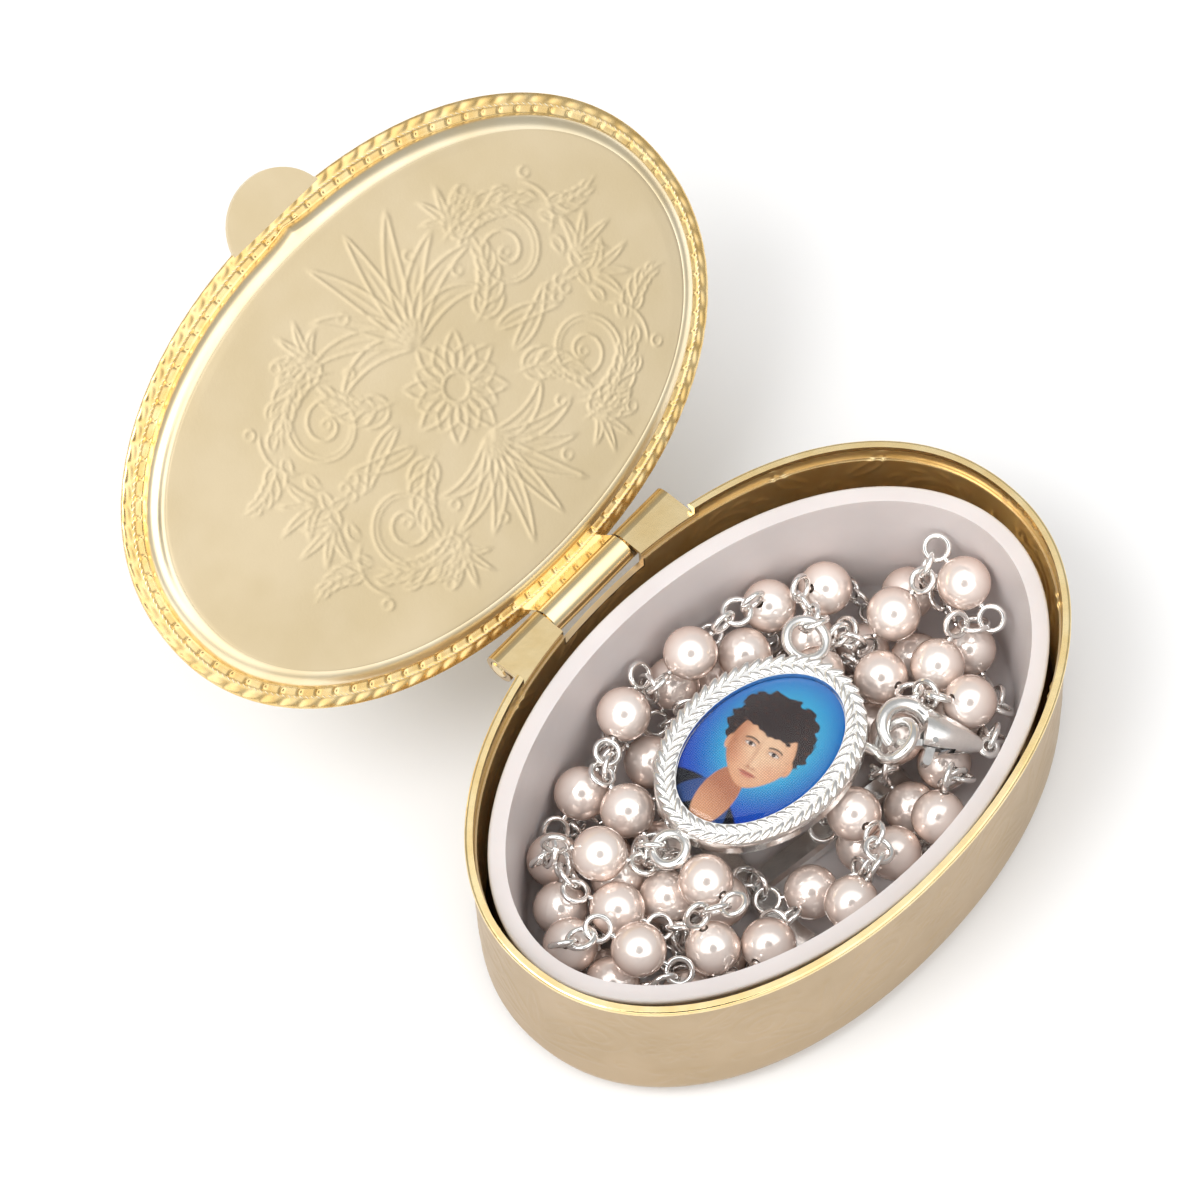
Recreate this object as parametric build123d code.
# Oval pressed-metal rosary box: tub, hinged lid, plastic tray and the pearl rosary that it holds.
# X runs along the hinge, +Y is the hinge side, +Z is up. The origin is the centre of the underside.
# Lengths are in millimetres and angles in degrees. The lid is drawn shut and then swung open.
import os

import numpy as np
from build123d import *

# Tub
outline_power = 2.12
tub_half_length = 25.4
tub_half_width = 16.8
tub_height = 16.0
tub_sheet = 0.45
tub_corner = 2.3
lip_overhang = 0.35
lip_height = 0.55
lip_round = 0.2
mouth_relief = 0.2
mouth_depth = 1.5

# Lid
lid_overhang = 0.53
lid_sheet = 0.4
lid_seat_gap = 0.05
plug_clearance = 0.4
plug_depth = 1.3
plug_round = 1.15
lid_open_angle = 141.0
tab_radius = 4.3
tab_reach = 3.0
catch_radius = 2.0
catch_reach = 0.2

# Hinge
hinge_y = 17.82
hinge_z = 14.0
pin_diameter = 1.4
pin_clearance = 0.05
knuckle_sheet = 0.4
middle_knuckle_half = 4.0
knuckle_gap = 0.15
outer_knuckle_length = 4.9
notch_floor = 13.5
seam_width = 0.15
pin_stand_out = 0.1

# Tray
tray_half_length = 23.85
tray_half_width = 15.25
tray_rim_width = 1.3
tray_rim_thickness = 0.6
tray_wall = 0.9
tray_draft = 1.1
tray_floor = 1.0
tray_floor_gap = 0.3
tray_top = 14.4
tray_corner = 1.2
tray_shift = (-0.45, -0.45)
tray_turn = -2.5

# Beads, eye pins and jump rings
bead_diameter = 4.0
bead_bore = 0.7
wire = 0.42
eye_radius = 0.9
eye_gap = 0.12
ring_radius = 1.0

# Centre medal, placed by its middle
medal_centre = (-0.7, 0.3, 11.0)
medal_turn = -5.6
medal_half_length = 8.5
medal_half_width = 6.45
medal_thickness = 2.2
medal_edge_round = 0.7
picture_half_length = 7.0
picture_half_width = 4.75
picture_depth = 0.7
print_thickness = 0.12
dome_height = 0.85
medal_fit = 0.04
medal_ring_wire = 0.75
bail_radius = 1.5
side_ring_radius = 1.6
drop_ring_radius = 1.2
ring_lug_radius = 0.4

# Lobster clasp, in its own plane: the middle of the hook is 0, x runs to the tail, y away from the lever
clasp_eye = (8.0, -5.9, 10.25)
clasp_heading = -52.7
clasp_pitch = 21.0
hook_radius = 1.85
hook_start = 20.0
hook_end = 228.0
hook_root = 0.6
hook_tip = 0.38
claw_front = 1.2
claw_length = 5.7
claw_half_width = 1.6
claw_half_depth = 1.05
claw_offset = 0.35
claw_tail = 0.5
tail_loop_radius = 0.62
tail_loop_wire = 0.5
slot_width = 0.8
slot_end = 3.7
lever_pivot = (1.95, -0.75)
lever_nose = (-0.55, -1.35)
lever_thumb = (1.6, -2.3)
lever_thickness = 0.6
lever_width = 0.5
rivet_radius = 0.22
rivet_clearance = 0.03
spring_sheet = 0.12

# Cross, flat on the tray floor
cross_foot = (8.0, -5.8)
cross_head = (-13.5, -2.5)
cross_arm_span = 12.4
cross_arm_share = 0.66
cross_bar = 2.0
cross_flare = 2.8
cross_flare_length = 1.6
cross_thickness = 1.6
cross_eye_radius = 0.95
cross_eye_wire = 0.5

# How the strand lies: x, y and layer of each bead, in order along the wire
layer_heights = (3.9, 6.3, 8.6)
loop_route = [
    (14.0, 7.5, 2), (16.5, 1.5, 0), (8.0, -0.5, 0), (1.5, 5.0, 0), (7.5, 8.0, 1), (0.0, 10.5, 1),
    (7.5, 7.5, 0), (15.5, 6.0, 0), (12.0, 0.0, 1), (14.5, -8.0, 2), (16.5, -3.0, 1), (18.5, 4.0, 1),
    (19.0, -4.0, 0), (12.5, -4.0, 1), (19.0, -2.0, 2), (15.0, -0.5, 2), (12.5, 5.0, 0), (11.5, -1.5, 0),
    (9.5, -8.0, 1), (5.0, -11.5, 2), (-1.0, -11.0, 0), (2.5, -6.5, 1), (-3.0, -11.5, 2), (-7.0, -10.5, 0),
    (-13.0, -6.5, 1), (-10.0, -4.0, 2), (-14.5, 2.0, 2), (-15.0, 6.5, 1), (-10.5, 9.5, 1), (-4.0, 8.5, 0),
    (-7.0, 2.5, 0), (-11.0, 6.5, 0), (-6.5, 10.5, 0), (-3.0, 4.0, 0), (2.0, 9.5, 0), (6.0, 3.5, 0),
    (4.0, 9.5, 0), (10.5, 9.0, 2), (2.0, 11.0, 2), (-4.0, 11.0, 2), (-9.0, 6.0, 2), (-12.0, -1.0, 2),
    (-16.0, 2.5, 0), (-21.0, 0.5, 2), (-17.0, -5.5, 2), (-18.5, -3.5, 1), (-18.5, 5.0, 1), (-15.0, -1.5, 1),
    (-7.5, -2.0, 0), (-5.5, -8.5, 1), (1.5, -10.0, 1), (9.5, -10.5, 0), (7.5, -5.0, 0), (15.5, -7.0, 0),
]
drop_route = [
    (-11.0, 2.0, 0), (-19.5, 0.5, 0), (-14.5, -3.5, 0), (-10.5, -10.0, 2), (-8.5, -6.5, 0),
]
bail_rings = 3
tail_rings = 2
drop_rings = 1

# Settling of the heap
settle_steps = 5000
look_every = 10
look_out = 0.8
tie_share = 0.45
part_share = 0.4
rest_share = 0.9
hung_share = 0.75
linked_low = 0.58
own_bar_reach = 1.3
heap_top = 12.6
bead_space = 0.03
loop_space = 1.0
loop_nesting = 0.5
link_slack = 0.12
route_pull = 0.3
free_from = 0.6
free_by = 0.8
ring_tries = 90
eye_tries = 24
turn_sweeps = 3
shake_steps = 900
shake_look_every = 15
shake_points = 32
shake_space = 0.03
bar_space = 0.06
push_share = 0.5
calm_share = 0.5
largest_slide = 0.04
largest_turn = 0.05
tray_wall_space = 0.15

# Worked out from the sizes above
medal_core = np.array((medal_half_length, medal_half_width)) - medal_thickness / 2
medal_girth = medal_thickness / 2 + medal_edge_round / 4
wall_half_length = tub_half_length - lip_overhang
wall_half_width = tub_half_width - lip_overhang
room_half_length = wall_half_length - tub_sheet
room_half_width = wall_half_width - tub_sheet
mouth_half_length = room_half_length + mouth_relief
mouth_half_width = room_half_width + mouth_relief
lid_half_length = tub_half_length + lid_overhang
lid_half_width = tub_half_width + lid_overhang
lid_under = tub_height + lid_seat_gap
plug_half_length = mouth_half_length - plug_clearance
plug_half_width = mouth_half_width - plug_clearance
plug_bottom = lid_under - plug_depth
barrel_bore = pin_diameter / 2 + pin_clearance
barrel_radius = barrel_bore + knuckle_sheet
notch_half = middle_knuckle_half + knuckle_gap
hinge_half = notch_half + outer_knuckle_length
tray_bottom = tub_sheet + tray_floor_gap
tray_floor_top = tray_bottom + tray_floor
tray_mouth = np.array((tray_half_length - tray_rim_width, tray_half_width - tray_rim_width))
tray_foot = tray_mouth - tray_draft
bead_radius = bead_diameter / 2
eye_reach = bead_radius + eye_gap + eye_radius + wire / 2


# ---- Frames and small helpers --------------------------------------------------------------

def unit(vector):
    return np.asarray(vector, float) / np.linalg.norm(vector)


def turned(angle):
    c = np.cos(np.radians(angle))
    s = np.sin(np.radians(angle))
    return np.array(((c, s, 0.0), (-s, c, 0.0), (0.0, 0.0, 1.0)))


def side_of(axis):
    # A direction square to an axis.
    helper = (0.0, 0.0, 1.0) if abs(axis[2]) < 0.9 else (1.0, 0.0, 0.0)
    return unit(np.cross(axis, helper))


def oval(half_length, half_width, z=0.0, power=outline_power, count=48):
    # The box's outline: an ellipse with slightly fuller corners.
    points = []
    for t in np.linspace(0, 2 * np.pi, count, endpoint=False):
        c = np.cos(t)
        s = np.sin(t)
        swell = (abs(c) ** power + abs(s) ** power) ** (-1 / power)
        points.append((half_length * swell * c, half_width * swell * s, z))
    return make_face(Spline(*points, periodic=True))


def prism(face, height):
    return extrude(face, amount=height, dir=(0, 0, 1))


def block(x0, x1, y0, y1, z0, z1):
    middle = ((x0 + x1) / 2, (y0 + y1) / 2, (z0 + z1) / 2)
    return Pos(*middle) * Box(x1 - x0, y1 - y0, z1 - z0)


def rod_along_x(x0, x1, radius):
    turn = Rot(0, 90, 0)
    return Pos((x0 + x1) / 2, hinge_y, hinge_z) * turn * Cylinder(radius, x1 - x0)


def hoop(centre, normal, radius, thickness):
    frame = Plane(origin=tuple(centre), x_dir=tuple(side_of(normal)), z_dir=tuple(normal))
    return frame.location * Torus(radius, thickness / 2)


def bar_between(start, end, radius):
    middle = (np.asarray(start) + np.asarray(end)) / 2
    length = np.linalg.norm(np.asarray(end) - np.asarray(start))
    frame = Plane(origin=tuple(middle), z_dir=tuple(unit(np.asarray(end) - np.asarray(start))))
    return frame.location * Cylinder(radius, length)


def low_edges(shape, height):
    return shape.edges().filter_by(lambda edge: abs(edge.center().Z - height) < 1e-3)


# ---- Hinge ---------------------------------------------------------------------------------

def barrel(x0, x1, seam_y):
    tube = rod_along_x(x0, x1, barrel_radius) - rod_along_x(x0, x1, barrel_bore)
    seam_z = hinge_z + barrel_bore * 0.55
    seam = block(x0 - 1, x1 + 1, *sorted((hinge_y, seam_y)), seam_z, seam_z + seam_width)
    return tube - seam


def make_hinge_pin():
    half = hinge_half + pin_stand_out
    pin = rod_along_x(-half, half, pin_diameter / 2)
    return chamfer(pin.edges(), 0.12)


# ---- Tub -----------------------------------------------------------------------------------

def make_base_shell():
    outside = prism(oval(wall_half_length, wall_half_width), tub_height)
    outside = fillet(low_edges(outside, 0), tub_corner)
    inside = prism(oval(room_half_length, room_half_width, tub_sheet), tub_height)
    inside = fillet(low_edges(inside, tub_sheet), tub_corner - tub_sheet)
    lip = prism(oval(tub_half_length, tub_half_width, tub_height - lip_height), lip_height)
    lip = fillet(lip.edges(), lip_round)
    mouth = prism(oval(mouth_half_length, mouth_half_width, tub_height - mouth_depth), mouth_depth + 1)
    shell = outside + lip - inside - mouth
    # At the hinge the wall's top edge is bent outward and rolled round the pin.
    bend_top = hinge_z + barrel_radius
    shell -= block(-hinge_half, hinge_half, tub_half_width / 2, hinge_y, bend_top, tub_height + 1)
    shell -= block(-notch_half, notch_half, tub_half_width / 2, hinge_y, notch_floor, tub_height + 1)
    for side in (-1, 1):
        x0, x1 = sorted((side * notch_half, side * hinge_half))
        strap = block(x0, x1, tub_half_width / 2, hinge_y, bend_top - knuckle_sheet, bend_top)
        strap -= mouth
        shell += strap
        shell += barrel(x0, x1, tub_half_width)
    return shell


# ---- Lid -----------------------------------------------------------------------------------

def make_lid_shell():
    plate = prism(oval(lid_half_length, lid_half_width, lid_under), lid_sheet)
    tab_y = -lid_half_width - tab_reach + tab_radius
    plate += Pos(0, tab_y, lid_under + lid_sheet / 2) * Cylinder(tab_radius, lid_sheet)
    plug = prism(oval(plug_half_length, plug_half_width, plug_bottom), plug_depth)
    catch_y = -plug_half_width - catch_reach + catch_radius
    plug = fillet(low_edges(plug, plug_bottom), plug_round)
    catch_height = plug_depth - plug_round / 2
    plug += Pos(0, catch_y, lid_under - catch_height / 2) * Cylinder(catch_radius, catch_height)
    dish = prism(oval(plug_half_length - lid_sheet, plug_half_width - lid_sheet, plug_bottom + lid_sheet), 3)
    dish = fillet(low_edges(dish, plug_bottom + lid_sheet), plug_round - lid_sheet)
    shell = plate + plug - dish
    # The knuckle's sheet drops from the plate and rolls round the pin.
    near_y = hinge_y - barrel_radius
    half = middle_knuckle_half
    strap = block(-half, half, near_y, near_y + knuckle_sheet, hinge_z, lid_under + lid_sheet / 2)
    shell += strap
    shell += barrel(-half, half, hinge_y + barrel_radius + 1)
    return shell.rotate(Axis((0, hinge_y, hinge_z), (1, 0, 0)), -lid_open_angle)


# ---- Tray ----------------------------------------------------------------------------------

def tray_level(half_sizes, z):
    return Pos(0, 0, z) * Ellipse(half_sizes[0], half_sizes[1])


def make_liner_tray():
    skin = loft([tray_level(tray_foot + tray_wall, tray_bottom), tray_level(tray_mouth + tray_wall, tray_top)])
    skin = fillet(low_edges(skin, tray_bottom), tray_corner)
    room = loft([tray_level(tray_foot, tray_floor_top), tray_level(tray_mouth, tray_top)])
    room = fillet(low_edges(room, tray_floor_top), tray_corner)
    rim_half = (tray_half_length, tray_half_width)
    rim = prism(tray_level(rim_half, tray_top - tray_rim_thickness), tray_rim_thickness)
    rim = fillet(rim.edges(), tray_rim_thickness / 3)
    tray = skin + rim - room
    return Pos(*tray_shift, 0) * Rot(0, 0, tray_turn) * tray


# ---- Medal ---------------------------------------------------------------------------------

def medal_point(u, v, w=0.0):
    return np.array(medal_centre) + np.array((u, v, w)) @ turned(medal_turn)


def medal_rings():
    # Centre, normal and radius of the bail, the side ring and the drop ring.
    bail = medal_point(medal_half_length + 0.1, 4.5)
    side = medal_point(medal_half_length - 0.65, -5.65, -0.2)
    drop = medal_point(-medal_half_length - 1.2, -1.0)
    return (
        (bail, unit((0.15, -0.3, 1.0)), bail_radius),
        (side, unit((-0.25, 0.75, 1.0)), side_ring_radius),
        (drop, unit((-0.2, 0.2, 1.0)), drop_ring_radius),
    )


def on_medal(shape, height):
    return Pos(*medal_point(0, 0, height)) * Rot(0, 0, medal_turn) * shape


def make_medal_bezel():
    body = extrude(Ellipse(medal_half_length, medal_half_width), amount=medal_thickness)
    body = fillet(body.edges(), medal_edge_round)
    window = extrude(Ellipse(picture_half_length, picture_half_width), amount=picture_depth + 1)
    body -= Pos(0, 0, medal_thickness - picture_depth) * window
    bezel = on_medal(body, -medal_thickness / 2)
    for centre, normal, radius in medal_rings():
        # A short lug joins the ring to the bezel's edge.
        u, v, w = turned(medal_turn) @ (centre - np.array(medal_centre))
        outside = np.hypot(u / medal_half_length, v / medal_half_width)
        seat = medal_point(u / outside * 0.93, v / outside * 0.93)
        inward = seat - centre
        inward = unit(inward - normal * (inward @ normal))
        bezel += hoop(centre, normal, radius, medal_ring_wire)
        bezel += bar_between(centre + inward * radius, seat, ring_lug_radius)
    return bezel


def make_medal_print():
    card = Ellipse(picture_half_length - medal_fit, picture_half_width - medal_fit)
    return on_medal(extrude(card, amount=print_thickness), medal_thickness / 2 - picture_depth)


def make_medal_dome():
    half_sizes = (picture_half_length - medal_fit, picture_half_width - medal_fit, dome_height)
    lens = scale(Sphere(1), by=half_sizes)
    lens &= Pos(0, 0, 5) * Box(40, 40, 10)
    return on_medal(lens, medal_thickness / 2 - picture_depth + print_thickness)


# ---- Lobster clasp -------------------------------------------------------------------------

def clasp_frame():
    heading = np.radians(clasp_heading)
    pitch = np.radians(clasp_pitch)
    along = np.array((np.cos(heading) * np.cos(pitch), np.sin(heading) * np.cos(pitch), -np.sin(pitch)))
    across = unit(np.cross((0, 0, 1), along))
    return np.array((along, across, np.cross(along, across)))


def clasp_point(x, y, z=0.0):
    return np.array(clasp_eye) + np.array((x, y, z)) @ clasp_frame()


def in_clasp(shape):
    along, across, normal = clasp_frame()
    return Plane(origin=clasp_eye, x_dir=tuple(along), z_dir=tuple(normal)).location * shape


def tail_loop_centre():
    return clasp_point(claw_length + tail_loop_radius, 0)


def make_clasp_body():
    # The hook is a tapering round bar on an arc; the claw behind it narrows to the tail.
    arc = CenterArc((0, 0), hook_radius, hook_start, hook_end - hook_start)
    sections = []
    for share, radius in ((0, hook_root), (0.5, hook_root), (1, hook_tip)):
        sections.append(Plane(origin=arc @ share, z_dir=arc % share) * Circle(radius))
    body = sweep(sections, path=arc, multisection=True)
    body += Pos(*(arc @ 1)) * Sphere(hook_tip)
    middle = (claw_front + claw_length) / 2
    body += loft([
        Plane(origin=(claw_front, claw_offset, 0), z_dir=(1, 0, 0), x_dir=(0, 1, 0))
        * Ellipse(claw_half_width, claw_half_depth),
        Plane(origin=(middle, claw_offset / 2, 0), z_dir=(1, 0, 0), x_dir=(0, 1, 0))
        * Ellipse(claw_half_width * 0.8, claw_half_depth * 0.85),
        Plane(origin=(claw_length, 0, 0), z_dir=(1, 0, 0), x_dir=(0, 1, 0)) * Circle(claw_tail),
    ])
    body += Pos(claw_length + tail_loop_radius, 0, 0) * Torus(tail_loop_radius, tail_loop_wire / 2)
    # The lever's slot is open to the front and below, and the rivet crosses it.
    body -= block(claw_front - 1, slot_end, -4, 0, -slot_width / 2, slot_width / 2)
    body -= Pos(*lever_pivot, 0) * Cylinder(rivet_radius, 4)
    return in_clasp(body)


def bar_in_plane(start, end, width, thickness):
    # A flat bar with round ends.
    run = np.array(end) - np.array(start)
    length = np.linalg.norm(run)
    middle = (np.array(start) + np.array(end)) / 2
    angle = np.degrees(np.arctan2(run[1], run[0]))
    outline = SlotCenterToCenter(length, width)
    return Pos(*middle, -thickness / 2) * Rot(0, 0, angle) * extrude(outline, amount=thickness)


def make_clasp_lever():
    lever = bar_in_plane(lever_pivot, lever_nose, lever_width, lever_thickness)
    lever += bar_in_plane(lever_pivot, lever_thumb, lever_width * 1.3, lever_thickness)
    lever += Pos(*lever_pivot, 0) * Cylinder(lever_width * 0.75, lever_thickness)
    lever -= Pos(*lever_pivot, 0) * Cylinder(rivet_radius + rivet_clearance, 4)
    return in_clasp(lever)


def make_clasp_rivet():
    half = claw_half_depth * 0.8
    return in_clasp(Pos(*lever_pivot, 0) * Cylinder(rivet_radius, 2 * half))


def make_clasp_spring():
    # A bent leaf in the back of the slot, bearing on the lever's root.
    x, y = lever_pivot
    leaf_start = (x + lever_width, y + 0.45)
    leaf_end = (slot_end - 0.25, y - 0.1)
    leaf = bar_in_plane(leaf_start, leaf_end, spring_sheet, lever_thickness)
    leaf += bar_in_plane(leaf_end, (x + lever_width + 0.2, y - 0.55), spring_sheet, lever_thickness)
    return in_clasp(leaf)


# ---- Cross ---------------------------------------------------------------------------------

def cross_middle_height():
    return tray_floor_top + cross_thickness / 2 + 0.05


def cross_points():
    z = cross_middle_height()
    foot = np.array((*cross_foot, z))
    head = np.array((*cross_head, z))
    along = unit(head - foot)
    across = np.cross((0, 0, 1), along)
    centre = foot + (head - foot) * cross_arm_share
    return foot, head, centre, along, across


def cross_eye_centre():
    foot, head, centre, along, across = cross_points()
    return head + along * cross_eye_radius


def flared_bar(length, end_width):
    # A straight bar whose two ends widen.
    half = length / 2
    bar = Rectangle(length, cross_bar)
    flare = Polygon(
        (half - cross_flare_length, -cross_bar / 2),
        (half, -end_width / 2),
        (half, end_width / 2),
        (half - cross_flare_length, cross_bar / 2),
        align=None,
    )
    return bar + flare + Rot(0, 0, 180) * flare


def make_crucifix():
    foot, head, centre, along, across = cross_points()
    length = np.linalg.norm(head - foot)
    upright = Pos((0.5 - cross_arm_share) * length, 0) * flared_bar(length, cross_flare)
    arms = Rot(0, 0, 90) * flared_bar(cross_arm_span, cross_flare)
    flat = extrude(upright + arms, amount=cross_thickness)
    flat = chamfer(low_edges(flat, cross_thickness), 0.3)
    flat = Pos(0, 0, -cross_thickness / 2) * flat
    frame = Plane(origin=tuple(centre), x_dir=tuple(along), z_dir=(0, 0, 1))
    cross = frame.location * flat
    return cross + hoop(cross_eye_centre(), (0, 0, 1), cross_eye_radius, cross_eye_wire)


# ---- Settling of the strand ----------------------------------------------------------------
# Every bead is a ball between two smaller ones for its eyes, and every jump ring is a ball.
# The heap is relaxed: rods and links keep their lengths while the balls push each other apart.

def route_points(route):
    return np.array([(x, y, layer_heights[layer]) for x, y, layer in route])


def string_up():
    # Returns the balls' places, sizes and kinds, and what ties them together.
    places = []
    kinds = []
    pins = []
    links = []
    anchors = []

    def add(place, kind):
        places.append(np.array(place, float))
        kinds.append(kind)
        return len(places) - 1

    def add_rings(start, goal, count):
        last = start
        for k in range(count):
            share = (k + 1) / (count + 1)
            ring = add(places[start] * (1 - share) + goal * share, "ring")
            links.append((last, ring))
            last = ring
        return last

    def lay(route):
        eyes = []
        for k, place in enumerate(route):
            before = route[max(k - 1, 0)]
            after = route[min(k + 1, len(route) - 1)]
            reach = unit(after - before) * eye_reach
            bead = add(place, "bead")
            near = add(place - reach, "eye")
            far = add(place + reach, "eye")
            pins.append((bead, near, far))
            eyes.append((near, far))
        return eyes

    loop = lay(route_points(loop_route))
    tail = lay(route_points(drop_route))
    for eyes in (loop, tail):
        for this, following in zip(eyes[:-1], eyes[1:]):
            ring = add_rings(this[1], places[following[0]], 1)
            links.append((ring, following[0]))
    starts = (loop[0][0], loop[-1][1], tail[0][0], tail[-1][1])
    counts = (bail_rings, tail_rings, drop_rings, 1)
    for start, hoop_data, ring_count in zip(starts, fixed_hoops(), counts):
        anchors.append((add_rings(start, hoop_data[0], ring_count), hoop_data))
    return np.array(places), np.array(kinds), np.array(pins), links, anchors


def solid_bars():
    # Rounded bars that stand for the clasp and the cross: start, end, radius.
    foot, head, centre, along, across = cross_points()
    half_span = across * cross_arm_span / 2
    cross_girth = np.hypot(cross_bar, cross_thickness) / 2
    claw_end = claw_length - 0.9 * claw_half_depth
    bars = [
        (clasp_point(-hook_radius / 2, 0), clasp_point(claw_front + 1, 0), claw_half_width),
        (clasp_point(claw_front + 1, 0), clasp_point(claw_end, 0), claw_half_depth),
        (foot, head - along * cross_girth, cross_girth),
        (centre - half_span, centre + half_span, cross_girth),
    ]
    flare_half = (cross_flare - cross_thickness) / 2
    ends = (
        (foot, -along, across),
        (head, along, across),
        (centre - half_span, -across, along),
        (centre + half_span, across, along),
    )
    for end, outward, sideways in ends:
        middle = end - outward * cross_thickness / 2
        reach = sideways * flare_half
        bars.append((middle - reach, middle + reach, cross_thickness / np.sqrt(2)))
    return bars


def fixed_hoops():
    # The hoops that stand still, each its centre, radius, wire and normal.
    bail, side, drop = medal_rings()
    flat = np.array((0.0, 0.0, 1.0))
    return [
        [bail[0], bail_radius, medal_ring_wire, bail[1]],
        [tail_loop_centre(), tail_loop_radius, tail_loop_wire, clasp_frame()[2]],
        [drop[0], drop_ring_radius, medal_ring_wire, drop[1]],
        [cross_eye_centre(), cross_eye_radius, cross_eye_wire, flat],
        [side[0], side_ring_radius, medal_ring_wire, side[1]],
    ]


def hang_from(place, hoop_data):
    # The nearest place at which a ring hangs freely on a hoop that stands still.
    centre, radius, thickness, normal = hoop_data
    run = place - centre
    flat = run - normal * (run @ normal)
    hold = centre + flat / max(np.linalg.norm(flat), 1e-9) * radius
    free_play = ring_radius - (wire + thickness) / 2 - link_slack
    away = place - hold
    return hold + away * min(1.0, free_play / max(np.linalg.norm(away), 1e-9))


def link_reach(radius_a, radius_b):
    # Two linked hoops' centres lie this near and this far apart.
    return linked_low * (radius_a + radius_b), radius_a + radius_b - wire - link_slack


def settle():
    places, kinds, pins, links, anchors = string_up()
    count = len(places)
    is_bead = kinds == "bead"
    size = np.where(is_bead, bead_radius + bead_space, loop_space)
    beads = np.where(is_bead)[0]
    goals = places[beads].copy()
    on_view = goals[:, 2] > layer_heights[0]
    pull = np.where(on_view, route_pull, route_pull / 30)
    bead, near_eye, far_eye = pins.T
    link_a, link_b = np.array(links).T
    ring_link = (kinds[link_a] == "ring") & (kinds[link_b] == "ring")
    link_low = np.where(ring_link, link_reach(ring_radius, ring_radius)[0], link_reach(ring_radius, eye_radius)[0])
    link_high = np.where(ring_link, link_reach(ring_radius, ring_radius)[1], link_reach(ring_radius, eye_radius)[1])
    tied = np.zeros((count, count), bool)
    tied[bead, near_eye] = True
    tied[bead, far_eye] = True
    tied[near_eye, far_eye] = True
    tied[link_a, link_b] = True
    all_a, all_b = np.triu_indices(count, 1)
    loose = ~(tied | tied.T)[all_a, all_b]
    all_a = all_a[loose]
    all_b = all_b[loose]
    all_reach = size[all_a] + size[all_b] - np.where(is_bead[all_a] | is_bead[all_b], 0, loop_nesting)
    girth = np.select([is_bead, kinds == "ring"], [bead_radius, ring_radius + wire / 2], eye_radius + wire / 2)
    bars = solid_bars()
    for centre, radius, thickness, normal in fixed_hoops():
        bars.append((centre, centre, radius))
    tray_frame = turned(tray_turn)[:2, :2]
    medal_frame = turned(medal_turn)

    def shift(indexes, moves):
        for k in range(3):
            places[:, k] += np.bincount(indexes, moves[:, k], count)

    def draw_together(a, b, low, high):
        run = places[b] - places[a]
        length = np.linalg.norm(run, axis=1) + 1e-9
        move = run * ((length - np.clip(length, low, high)) / length * tie_share)[:, None]
        shift(a, move)
        shift(b, -move)

    def straighten_pins():
        axis = places[far_eye] - places[near_eye]
        axis /= np.linalg.norm(axis, axis=1)[:, None]
        middle = (2 * places[bead] + places[near_eye] + places[far_eye]) / 4
        places[bead] = middle
        places[near_eye] = middle - axis * eye_reach
        places[far_eye] = middle + axis * eye_reach

    for step in range(settle_steps):
        share = step / settle_steps
        growth = min(1.0, 0.5 + share)
        hold = np.clip((free_by - share) / (free_by - free_from), 0, 1)
        places[beads] += (goals - places[beads]) * (pull * hold)[:, None]
        if share < free_by:
            places[:, 2] -= 0.01
        for again in range(2):
            straighten_pins()
            draw_together(link_a, link_b, link_low, link_high)
            for ring, hoop_data in anchors:
                places[ring] = hang_from(places[ring], hoop_data)
        # Neighbours push apart; who is a neighbour is looked up now and then.
        if step % look_every == 0:
            gap = np.linalg.norm(places[all_b] - places[all_a], axis=1) - all_reach
            near = gap < look_out
            near_a = all_a[near]
            near_b = all_b[near]
            near_reach = all_reach[near]
        run = places[near_b] - places[near_a]
        length = np.linalg.norm(run, axis=1) + 1e-9
        push = run * (np.clip(near_reach * growth - length, 0, None) / length * part_share)[:, None]
        shift(near_a, -push)
        shift(near_b, push)
        for start, end, radius in bars:
            run = end - start
            along = np.clip((places - start) @ run / max(run @ run, 1e-9), 0, 1)
            away = places - start - along[:, None] * run
            length = np.linalg.norm(away, axis=1) + 1e-9
            need = (girth + bead_space + radius) * growth
            for ring, hoop_data in anchors:
                if np.linalg.norm(hoop_data[0] - end) < own_bar_reach:
                    need[ring] = 0
            places += away * (np.clip(need - length, 0, None) / length * rest_share)[:, None]
        # The medal is a flat oval disc.
        local = (places - np.array(medal_centre)) @ medal_frame.T
        swell = np.maximum(1, np.linalg.norm(local[:, :2] / medal_core, axis=1))
        foot = np.c_[local[:, :2] / swell[:, None], np.zeros(count)]
        away = (local - foot) @ medal_frame
        length = np.linalg.norm(away, axis=1) + 1e-9
        need = (girth + medal_girth) * growth
        for ring, hoop_data in anchors:
            need[ring] *= hung_share
        places += away * (np.clip(need - length, 0, None) / length * rest_share)[:, None]
        # The tray's sloping wall, its floor and the top of the heap.
        rise = np.clip((places[:, 2] - tray_floor_top) / (tray_top - tray_floor_top), 0, 1)[:, None]
        half = tray_foot * (1 - rise) + tray_mouth * rise
        local = (places[:, :2] - tray_shift) @ tray_frame.T
        out = np.linalg.norm(local / half, axis=1) + 1e-9
        slope = local / half ** 2 / out[:, None]
        steepness = np.linalg.norm(slope, axis=1)
        room = (1 - out) / steepness
        inward = np.clip(girth + tray_wall_space - room, 0, None) / steepness
        places[:, :2] -= (slope * inward[:, None]) @ tray_frame
        places[:, 2] = np.clip(places[:, 2], tray_floor_top + girth + bead_space, heap_top - girth)
    straighten_pins()
    threaded = [(b, n, f, unit(places[f] - places[n])) for b, n, f in pins]
    return places, kinds, threaded, links, anchors


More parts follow.
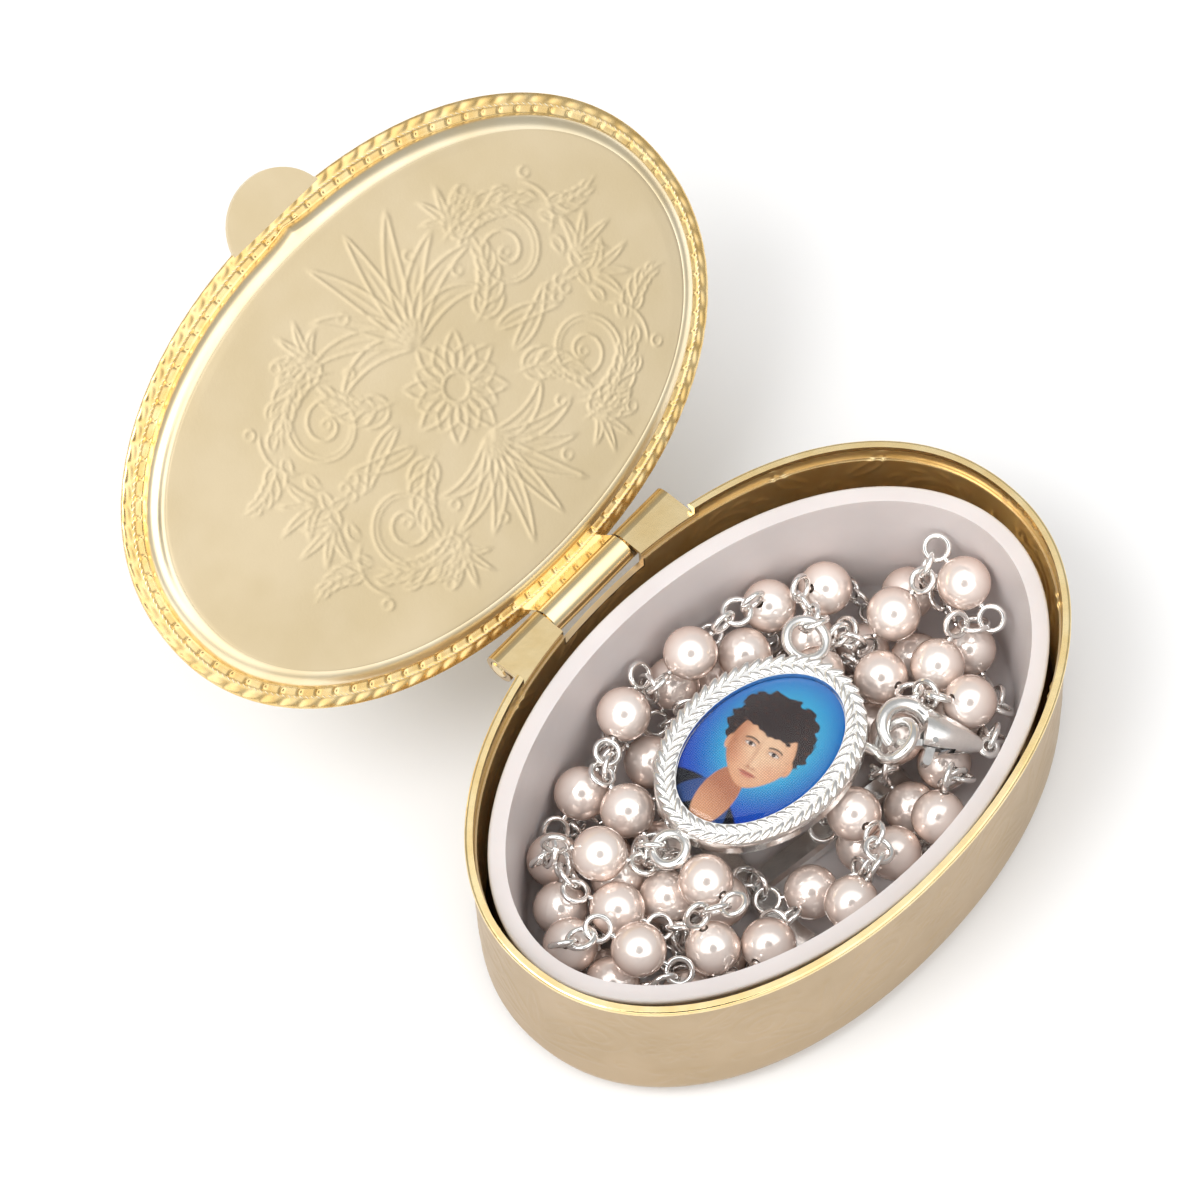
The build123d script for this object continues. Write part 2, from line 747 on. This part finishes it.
def circle_points(centre, normals, radius, count=24):
    # For each normal, points round a circle: an array of choices, points and coordinates.
    normals = np.atleast_2d(normals)
    first = np.array([side_of(normal) for normal in normals])
    second = np.cross(normals, first)
    turns = np.linspace(0, 2 * np.pi, count, endpoint=False)
    around = np.cos(turns)[None, :, None] * first[:, None] + np.sin(turns)[None, :, None] * second[:, None]
    return np.asarray(centre) + radius * around


def directions_about(axis, count):
    # Normals square to an axis, turned about it in even steps.
    first = side_of(axis)
    second = np.cross(axis, first)
    turns = np.linspace(0, np.pi, count, endpoint=False)[:, None]
    return first * np.cos(turns) + second * np.sin(turns)


def directions_all_round(count):
    # Normals spread evenly over half a sphere.
    height = (np.arange(count) + 0.5) / count
    turn = np.arange(count) * np.pi * (3 - np.sqrt(5))
    flat = np.sqrt(1 - height ** 2)
    return np.column_stack((flat * np.cos(turn), flat * np.sin(turn), height))


def least_gaps(points_a, points_b, wires):
    # The gap between every choice of one hoop and every choice of another.
    size_a, size_b = len(points_a), len(points_b)
    flat_a = points_a.reshape(-1, 3)
    flat_b = points_b.reshape(-1, 3)
    square = (flat_a ** 2).sum(1)[:, None] + (flat_b ** 2).sum(1)[None] - 2 * flat_a @ flat_b.T
    square = square.reshape(size_a, points_a.shape[1], size_b, points_b.shape[1])
    return np.sqrt(np.maximum(square.min(axis=(1, 3)), 0)) - wires / 2


def threads(centre, normals, radius, points):
    # Whether each choice of the other hoop passes once through each choice of this one.
    height = np.einsum("bnk,ak->abn", points - centre, normals)
    crossing = height * np.roll(height, -1, axis=2) < 0
    inside = np.linalg.norm(points - centre, axis=2) < radius
    return (crossing & inside[None]).sum(axis=2) == 1


def gaps_to_beads(points, beads, centre, radius):
    close = beads[np.linalg.norm(beads - centre, axis=1) < bead_radius + radius + wire]
    gaps = points[:, :, 2].min(axis=1) - tray_floor_top - wire / 2
    for bead in close:
        gap = np.linalg.norm(points - bead, axis=2).min(axis=1) - bead_radius - wire / 2
        gaps = np.minimum(gaps, gap)
    return gaps


def turn_loops(places, kinds, pins, links, anchors):
    # Turns every eye about its pin and every ring about itself until they hang free in each other.
    # A hoop is its centre, its radius, its wire and its normal.
    beads = places[kinds == "bead"]
    hoops = {}
    axes = {}
    for bead, near, far, axis in pins:
        for eye in (near, far):
            hoops[eye] = [places[eye], eye_radius, wire, side_of(axis)]
            axes[eye] = axis
    rings = [int(ring) for ring in np.where(kinds == "ring")[0]]
    for ring in rings:
        hoops[ring] = [places[ring], ring_radius, wire, np.array((0.0, 0.0, 1.0))]
    partners = {ring: [] for ring in rings}
    for a, b in links:
        for ring, other in ((a, b), (b, a)):
            if ring in partners:
                partners[ring].append(other)
    for k, hoop_data in enumerate(fixed_hoops()):
        hoops[-1 - k] = hoop_data
    for k, (ring, hoop_data) in enumerate(anchors):
        partners[ring].append(-1 - k)
    sphere = directions_all_round(ring_tries)
    for sweep_number in range(turn_sweeps):
        for ring in rings:
            centre, radius, thickness, normal = hoops[ring]
            members = {ring: np.vstack((sphere, normal))}
            for other in partners[ring]:
                if other in axes:
                    members[other] = np.vstack((directions_about(axes[other], eye_tries), hoops[other][3]))
                else:
                    members[other] = hoops[other][3][None]
            points = {}
            own = {}
            for index, normals in members.items():
                points[index] = circle_points(hoops[index][0], normals, hoops[index][1])
                own[index] = np.minimum(0.3, gaps_to_beads(points[index], beads, hoops[index][0], hoops[index][1]))
                if sweep_number == 0:
                    continue
                for other, (place, size, other_wire, other_normal) in hoops.items():
                    apart = np.linalg.norm(place - hoops[index][0])
                    if other in members or apart > size + hoops[index][1] + wire:
                        continue
                    rival = circle_points(place, other_normal, size)
                    gap = least_gaps(points[index], rival, hoops[index][2] + other_wire)[:, 0]
                    own[index] = np.minimum(own[index], gap)
            total = own[ring]
            chosen = {}
            for other in partners[ring]:
                gap = least_gaps(points[ring], points[other], thickness + hoops[other][2])
                gap = np.minimum(gap, own[other][None])
                linked = threads(centre, members[ring], radius, points[other])
                gap = np.where(linked, gap, gap - 5.0)
                chosen[other] = gap.argmax(axis=1)
                total = np.minimum(total, gap.max(axis=1))
            best = int(total.argmax())
            hoops[ring][3] = members[ring][best]
            for other in partners[ring]:
                if other in axes:
                    hoops[other][3] = members[other][chosen[other][best]]
    return hoops, rings


def shake_out(places, pins, hoops, rings, anchors):
    # Rigid pins and rings push whatever they touch apart, sliding and turning a little at a time.
    # The bodies are the pins, each with its bead and two eyes, then the rings, then all that is fixed.
    keys = list(hoops)
    row = {key: k for k, key in enumerate(keys)}
    centre = np.array([hoops[key][0] for key in keys], float)
    radius = np.array([hoops[key][1] for key in keys])
    girth = np.array([hoops[key][2] / 2 for key in keys])
    normal = np.array([hoops[key][3] for key in keys], float)
    near = np.array([row[pin[1]] for pin in pins])
    far = np.array([row[pin[2]] for pin in pins])
    ring_rows = np.array([row[ring] for ring in rings])
    fixed = len(pins) + len(rings)
    owner = np.full(len(keys), fixed)
    owner[near] = np.arange(len(pins))
    owner[far] = np.arange(len(pins))
    owner[ring_rows] = len(pins) + np.arange(len(rings))
    middle = np.vstack((places[[pin[0] for pin in pins]], centre[ring_rows], np.zeros((1, 3))))
    free = np.ones(fixed + 1)
    free[fixed] = 0
    spin = np.full(fixed + 1, 1 / ring_radius ** 2)
    spin[:len(pins)] = 1 / eye_reach ** 2
    bars = solid_bars()
    tray_frame = turned(tray_turn)[:2, :2]
    turns = np.linspace(0, 2 * np.pi, shake_points, endpoint=False)
    pin_rows = np.arange(len(pins))
    bead_a, bead_b = np.triu_indices(len(pins), 1)
    hoop_a, hoop_b = np.triu_indices(len(keys), 1)
    strangers = owner[hoop_a] != owner[hoop_b]
    hoop_a = hoop_a[strangers]
    hoop_b = hoop_b[strangers]

    moves = np.zeros((fixed + 1, 3))
    twists = np.zeros((fixed + 1, 3))

    def press(body_a, body_b, point_a, point_b, space):
        # Parts two bodies wherever their points lie nearer than the space between them.
        run = point_a - point_b
        length = np.linalg.norm(run, axis=1) + 1e-9
        close = length < space
        body_a, body_b, point_a, point_b = body_a[close], body_b[close], point_a[close], point_b[close]
        way = run[close] / length[close][:, None]
        turn_a = np.cross(point_a - middle[body_a], way)
        turn_b = np.cross(point_b - middle[body_b], way)
        ease = free[body_a] * (1 + spin[body_a] * (turn_a ** 2).sum(1))
        ease += free[body_b] * (1 + spin[body_b] * (turn_b ** 2).sum(1))
        depth = np.broadcast_to(space, length.shape)[close] - length[close]
        push = (depth / np.maximum(ease, 1e-9) * push_share)[:, None]
        np.add.at(moves, body_a, push * way)
        np.add.at(moves, body_b, -push * way)
        np.add.at(twists, body_a, push * turn_a * spin[body_a][:, None])
        np.add.at(twists, body_b, -push * turn_b * spin[body_b][:, None])

    for step in range(shake_steps):
        moves[:] = 0
        twists[:] = 0
        lean = np.abs(normal).argmin(axis=1)
        first = np.cross(normal, np.eye(3)[lean])
        first /= np.linalg.norm(first, axis=1)[:, None]
        second = np.cross(normal, first)
        around = np.cos(turns)[None, :, None] * first[:, None] + np.sin(turns)[None, :, None] * second[:, None]
        points = centre[:, None] + radius[:, None, None] * around
        beads = middle[:len(pins)]
        if step % shake_look_every == 0:
            apart = np.linalg.norm(centre[hoop_a] - centre[hoop_b], axis=1)
            close = apart < radius[hoop_a] + radius[hoop_b] + look_out
            pair_a = hoop_a[close]
            pair_b = hoop_b[close]
            apart = np.linalg.norm(centre[:, None] - beads[None], axis=2)
            near_hoop, near_bead = np.where(apart < radius[:, None] + bead_radius + look_out)
            others = owner[near_hoop] != near_bead
            near_hoop = near_hoop[others]
            near_bead = near_bead[others]
        gaps = np.linalg.norm(points[pair_a][:, :, None] - points[pair_b][:, None], axis=3)
        best = gaps.reshape(len(gaps), -1).argmin(axis=1)
        point_a = points[pair_a, best // shake_points]
        point_b = points[pair_b, best % shake_points]
        press(owner[pair_a], owner[pair_b], point_a, point_b, girth[pair_a] + girth[pair_b] + shake_space)
        best = np.linalg.norm(points[near_hoop] - beads[near_bead][:, None], axis=2).argmin(axis=1)
        reach = bead_radius + girth[near_hoop] + shake_space
        press(owner[near_hoop], near_bead, points[near_hoop, best], beads[near_bead], reach)
        press(bead_a, bead_b, beads[bead_a], beads[bead_b], bead_diameter + shake_space)

        # What stands still: the bars, the medal, the tray's wall, its floor and the top of the heap.
        spots = np.vstack((points[owner < fixed].reshape(-1, 3), beads))
        bodies = np.concatenate((np.repeat(owner[owner < fixed], shake_points), pin_rows))
        bulk = np.concatenate((np.full(len(spots) - len(pins), wire / 2), np.full(len(pins), bead_radius)))
        still = np.full(len(spots), fixed)
        for start, end, size in bars:
            run = end - start
            along = np.clip((spots - start) @ run / (run @ run), 0, 1)
            press(bodies, still, spots, start + along[:, None] * run, bulk + size + bar_space)
        local = (spots - np.array(medal_centre)) @ turned(medal_turn).T
        swell = np.maximum(1, np.linalg.norm(local[:, :2] / medal_core, axis=1))
        foot = np.c_[local[:, :2] / swell[:, None], np.zeros(len(spots))]
        foot = foot @ turned(medal_turn) + np.array(medal_centre)
        press(bodies, still, spots, foot, bulk + medal_girth + shake_space)
        rise = np.clip((spots[:, 2] - tray_floor_top) / (tray_top - tray_floor_top), 0, 1)[:, None]
        half = tray_foot * (1 - rise) + tray_mouth * rise
        local = (spots[:, :2] - tray_shift) @ tray_frame.T
        out = np.linalg.norm(local / half, axis=1) + 1e-9
        slope = local / half ** 2 / out[:, None]
        steepness = np.linalg.norm(slope, axis=1)
        outward = np.c_[(slope / steepness[:, None]) @ tray_frame, np.zeros(len(spots))]
        room = (1 - out) / steepness
        press(bodies, still, spots, spots + outward * np.maximum(room, 0.01)[:, None], bulk + shake_space)
        ground = spots.copy()
        ground[:, 2] = np.minimum(tray_floor_top, spots[:, 2] - 0.01)
        press(bodies, still, spots, ground, bulk + shake_space)
        ground[:, 2] = np.maximum(heap_top, spots[:, 2] + 0.01)
        press(bodies, still, spots, ground, bulk)

        moves[fixed] = 0
        twists[fixed] = 0
        slides = np.clip(moves * calm_share, -largest_slide, largest_slide)
        rolls = np.clip(twists * calm_share, -largest_turn, largest_turn)
        offset = centre - middle[owner]
        middle += slides
        centre = middle[owner] + offset + np.cross(rolls[owner], offset)
        normal += np.cross(rolls[owner], normal)
        normal /= np.linalg.norm(normal, axis=1)[:, None]
        axis = centre[far] - centre[near]
        axis /= np.linalg.norm(axis, axis=1)[:, None]
        centre[near] = middle[pin_rows] - axis * eye_reach
        centre[far] = middle[pin_rows] + axis * eye_reach
        for eyes in (near, far):
            normal[eyes] -= axis * (normal[eyes] * axis).sum(axis=1)[:, None]
            normal[eyes] /= np.linalg.norm(normal[eyes], axis=1)[:, None]
        for ring, hoop_data in anchors:
            centre[row[ring]] = hang_from(centre[row[ring]], hoop_data)
            middle[owner[row[ring]]] = centre[row[ring]]

    for key, k in row.items():
        hoops[key][0] = centre[k]
        hoops[key][3] = normal[k]
        if key >= 0:
            places[key] = centre[k]
    for k, pin in enumerate(pins):
        places[pin[0]] = middle[k]
    return [(pin[0], pin[1], pin[2], axis[k]) for k, pin in enumerate(pins)]


def count_linked(hoops, links, anchors):
    # How many of the links really pass through each other, and how many there are.
    pairs = list(links)
    for k, (ring, hoop_data) in enumerate(anchors):
        pairs.append((ring, -1 - k))
    linked = 0
    for this, other in pairs:
        points = circle_points(hoops[other][0], hoops[other][3], hoops[other][1], shake_points)
        linked += threads(hoops[this][0], hoops[this][3][None], hoops[this][1], points)[0, 0]
    return linked, len(pairs)


# ---- Rosary pieces -------------------------------------------------------------------------

def make_pearl_beads(places, pins):
    bored = Sphere(bead_radius) - Cylinder(bead_bore / 2, 2 * bead_diameter)
    beads = []
    for bead, near, far, axis in pins:
        beads.append(Plane(origin=tuple(places[bead]), z_dir=tuple(axis)).location * bored)
    return beads


def make_eye_pins(places, pins, hoops):
    eye_pins = []
    for bead, near, far, axis in pins:
        stem = axis * (eye_reach - eye_radius)
        pin = bar_between(places[bead] - stem, places[bead] + stem, wire / 2)
        for eye in (near, far):
            pin += hoop(places[eye], hoops[eye][3], eye_radius, wire)
        eye_pins.append(pin)
    return eye_pins


def make_link_rings(hoops, rings):
    return [hoop(hoops[ring][0], hoops[ring][3], ring_radius, wire) for ring in rings]


def main():
    os.makedirs("parts", exist_ok=True)
    places, kinds, pins, links, anchors = settle()
    hoops, rings = turn_loops(places, kinds, pins, links, anchors)
    pins = shake_out(places, pins, hoops, rings, anchors)
    print("strand: top of beads", round(float(places[kinds == "bead"][:, 2].max()) + bead_radius, 2))
    print("strand: links that hang in each other", *count_linked(hoops, links, anchors))
    nodes = {
        "base_shell": make_base_shell(),
        "lid_shell": make_lid_shell(),
        "hinge_pin": make_hinge_pin(),
        "liner_tray": make_liner_tray(),
        "pearl_beads": Compound(children=make_pearl_beads(places, pins)),
        "eye_pins": Compound(children=make_eye_pins(places, pins, hoops)),
        "link_rings": Compound(children=make_link_rings(hoops, rings)),
        "medal_bezel": make_medal_bezel(),
        "medal_print": make_medal_print(),
        "medal_dome": make_medal_dome(),
        "clasp_body": make_clasp_body(),
        "clasp_lever": make_clasp_lever(),
        "clasp_rivet": make_clasp_rivet(),
        "clasp_spring": make_clasp_spring(),
        "crucifix": make_crucifix(),
    }
    for name, shape in nodes.items():
        export_step(shape, "parts/" + name + ".step")
        print(name, "volume", round(shape.volume, 2))


main()
